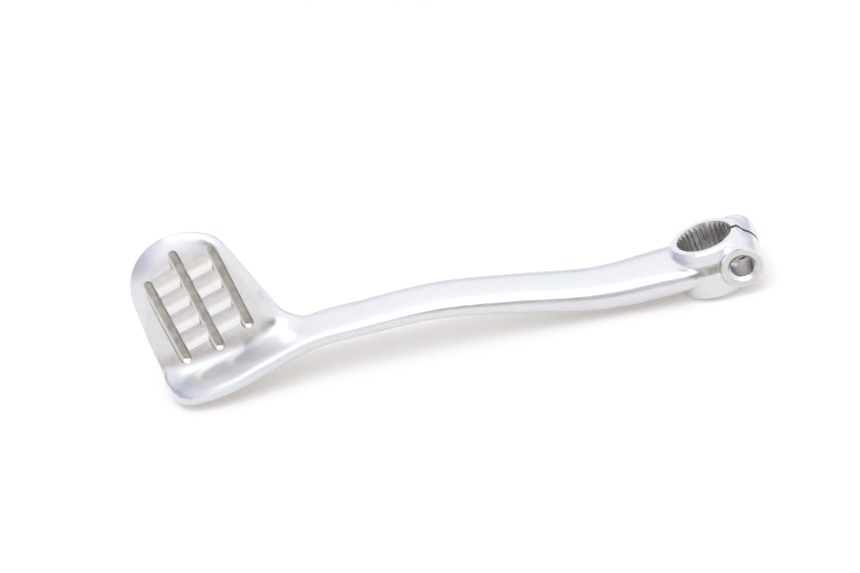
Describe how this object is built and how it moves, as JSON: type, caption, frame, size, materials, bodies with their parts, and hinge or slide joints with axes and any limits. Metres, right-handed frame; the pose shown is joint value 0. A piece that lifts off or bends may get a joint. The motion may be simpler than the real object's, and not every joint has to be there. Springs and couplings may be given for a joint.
{
  "type": "kick start lever",
  "caption": "One-piece forged kick start lever: split clamp with a serrated bore and a cross hole for a pinch bolt, S-shaped arm and upright foot pad with a grooved tread.",
  "frame": {"origin": "on the axis of the serrated bore, at half the clamp's height", "axes": "+Z along the bore, away from the engine; the arm reaches to -X; the pad's tread faces -Y, and the bolt hole runs along Y"},
  "size_m": [0.1905, 0.0242, 0.0695],
  "materials": {
    "aluminium": "polished"
  },
  "bodies": {
    "root": {"kick_lever": "aluminium"}
  },
  "joints": []
}
